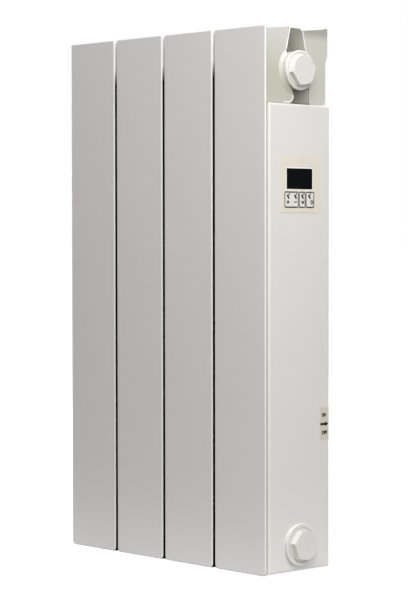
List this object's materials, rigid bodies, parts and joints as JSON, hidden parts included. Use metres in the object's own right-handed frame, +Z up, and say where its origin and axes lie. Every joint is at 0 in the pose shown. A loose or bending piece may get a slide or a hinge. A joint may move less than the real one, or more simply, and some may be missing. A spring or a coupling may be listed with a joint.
{
  "type": "ceramic electric radiator",
  "caption": "White sectional electric radiator with flat-front cast sections, blanking plugs, and an end cover with a small digital control panel and a rear mains switch.",
  "frame": {"origin": "on the floor under the middle of the bounding box", "axes": "+Z up, the front plates face -Y, the control end is at +X"},
  "size_m": [0.3472, 0.0984, 0.5766],
  "materials": {
    "casting_paint": "satin",
    "plug_paint": "satin",
    "cover_paint": "satin",
    "steatite": "matte",
    "heating_wire": "satin",
    "bare_steel": "satin",
    "seal_rubber": "matte",
    "light_seal": "matte",
    "plated_screws": "satin",
    "overlay_film": "satin",
    "smoked_window": "gloss",
    "key_plastic": "satin",
    "black_plastic": "satin",
    "board_laminate": "satin",
    "light_plastic": "satin",
    "lead_insulation": "matte",
    "mica": "satin"
  },
  "bodies": {
    "radiator": {"section_1": "casting_paint", "section_2": "casting_paint", "section_3": "casting_paint", "section_4": "casting_paint", "plug_upper_right": "plug_paint", "plug_lower_right": "plug_paint", "plug_upper_left": "plug_paint", "plug_lower_left": "plug_paint", "side_cover": "cover_paint", "heater_bobbins_1": "steatite", "heater_bobbins_2": "steatite", "heater_bobbins_3": "steatite", "heater_bobbins_4": "steatite", "heating_coil_1": "heating_wire", "heating_coil_2": "heating_wire", "heating_coil_3": "heating_wire", "heating_coil_4": "heating_wire", "heater_rods": "bare_steel", "upper_nipples": "bare_steel", "lower_nipples": "bare_steel", "core_caps": "bare_steel", "board_screws": "bare_steel", "earth_screw": "bare_steel", "switch_tabs": "bare_steel", "shield_pillars": "bare_steel", "board_pillars": "bare_steel", "joint_gaskets": "seal_rubber", "cable_inlet_bush": "seal_rubber", "lead_bush": "seal_rubber", "plug_seals": "light_seal", "cover_screws": "plated_screws", "control_overlay": "overlay_film", "switch_sticker": "overlay_film", "display_window": "smoked_window", "display_module": "black_plastic", "tact_switches": "black_plastic", "relay": "black_plastic", "switch_housing": "black_plastic", "control_board": "board_laminate", "board_connector": "light_plastic", "terminal_block": "light_plastic", "temperature_sensor": "light_plastic", "transformer": "light_plastic", "board_leads": "lead_insulation", "switch_leads": "lead_insulation", "heater_leads": "lead_insulation", "heat_shield": "mica"},
    "key_plus": {"key_plus": "key_plastic"},
    "key_minus": {"key_minus": "key_plastic"},
    "key_mode": {"key_mode": "key_plastic"},
    "key_power": {"key_power": "key_plastic"},
    "rocker": {"switch_rocker": "black_plastic"}
  },
  "joints": [
    {"name": "key_plus_press", "type": "slide", "parent": "radiator", "child": "key_plus", "axis": [-1, 0, 0], "range_m": [0, 0.0005], "stiffness_N_per_m": 1000, "springref_m": -0.001},
    {"name": "key_minus_press", "type": "slide", "parent": "radiator", "child": "key_minus", "axis": [-1, 0, 0], "range_m": [0, 0.0005], "stiffness_N_per_m": 1000, "springref_m": -0.001},
    {"name": "key_mode_press", "type": "slide", "parent": "radiator", "child": "key_mode", "axis": [-1, 0, 0], "range_m": [0, 0.0005], "stiffness_N_per_m": 1000, "springref_m": -0.001},
    {"name": "key_power_press", "type": "slide", "parent": "radiator", "child": "key_power", "axis": [-1, 0, 0], "range_m": [0, 0.0005], "stiffness_N_per_m": 1000, "springref_m": -0.001},
    {"name": "rocker_turn", "type": "hinge", "parent": "radiator", "child": "rocker", "pos_m": [0.14425, 0.04328, 0.15575], "axis": [1, 0, 0], "range_deg": [0, 20]}
  ]
}
